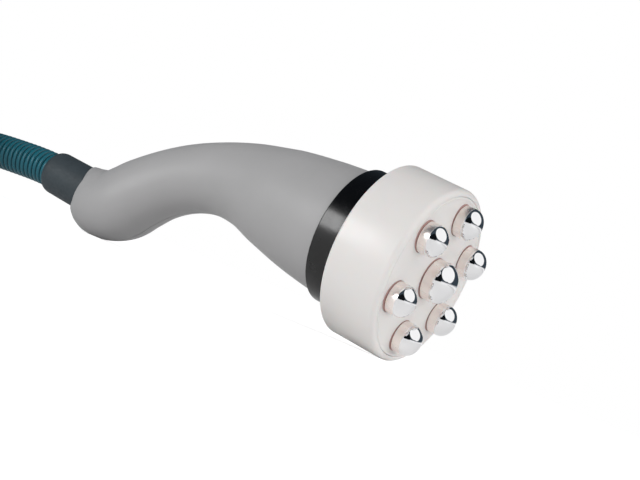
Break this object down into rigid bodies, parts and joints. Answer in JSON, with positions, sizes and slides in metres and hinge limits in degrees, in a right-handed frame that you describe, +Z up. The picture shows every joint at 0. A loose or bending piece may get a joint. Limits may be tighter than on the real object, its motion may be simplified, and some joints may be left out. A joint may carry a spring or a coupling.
{
  "type": "radiofrequency beauty handpiece",
  "caption": "Radiofrequency beauty handpiece: round head of domed chrome electrodes, bent grey handle and a corrugated hose coiled to its plug.",
  "frame": {"origin": "on the table under the middle of the handpiece as it lies, without its hose: half way along its length and in its plane of symmetry", "axes": "+Z up, +X along the handpiece towards its electrodes, +Y to its left; the head's own axis dips 5.9 degrees below +X, because the handpiece rests on its head's front rim and its tail"},
  "size_m": [0.4711, 0.2007, 0.0821],
  "materials": {
    "white_plastic": "satin white moulding",
    "grey_plastic": "matte mid grey moulding",
    "black_gloss": "high gloss black",
    "chrome": "mirror polished",
    "seal_rubber": "dark red-brown rubber",
    "steel": "plain steel",
    "board_green": "green coated board",
    "cream_plastic": "cream moulding",
    "slate_rubber": "matte slate rubber",
    "teal_hose": "satin teal corrugated tube",
    "cable_sheath": "black sheath",
    "black_plastic": "black moulding",
    "nickel": "nickel plated",
    "gold": "gold plated",
    "black_webbing": "black hook-and-loop webbing"
  },
  "bodies": {
    "handpiece": {"board_header": "cream_plastic", "coil_tie": "black_webbing", "collar_ring": "black_gloss", "contact_insert": "black_plastic", "contact_pin_1": "gold", "contact_pin_2": "gold", "contact_pin_3": "gold", "contact_pin_4": "gold", "contact_pin_5": "gold", "contact_pin_6": "gold", "contact_pin_7": "gold", "electrode_1": "chrome", "electrode_2": "chrome", "electrode_3": "chrome", "electrode_4": "chrome", "electrode_5": "chrome", "electrode_6": "chrome", "electrode_board": "board_green", "electrode_centre": "chrome", "face_plate": "white_plastic", "handle_shell_left": "grey_plastic", "handle_shell_right": "grey_plastic", "head_housing": "white_plastic", "head_screw_1": "steel", "head_screw_2": "steel", "head_screw_3": "steel", "hose_coil": "teal_hose", "hose_cuff": "slate_rubber", "hose_lead": "teal_hose", "inner_cable": "cable_sheath", "plug_backshell": "black_plastic", "plug_barrel": "nickel", "plug_ferrule": "nickel", "seal_1": "seal_rubber", "seal_2": "seal_rubber", "seal_3": "seal_rubber", "seal_4": "seal_rubber", "seal_5": "seal_rubber", "seal_6": "seal_rubber", "seal_centre": "seal_rubber", "shell_screw_1": "steel", "shell_screw_2": "steel", "shell_screw_3": "steel", "shell_screw_4": "steel", "stud_nut_1": "nickel", "stud_nut_2": "nickel", "stud_nut_3": "nickel", "stud_nut_4": "nickel", "stud_nut_5": "nickel", "stud_nut_6": "nickel", "stud_nut_centre": "nickel"},
    "coupling_nut": {"coupling_nut": "nickel"}
  },
  "joints": [
    {"name": "coupling_spin", "type": "hinge", "parent": "handpiece", "child": "coupling_nut", "pos_m": [-0.21849, -0.143, 0.05015], "axis": [1, 0, 0], "continuous": true}
  ]
}
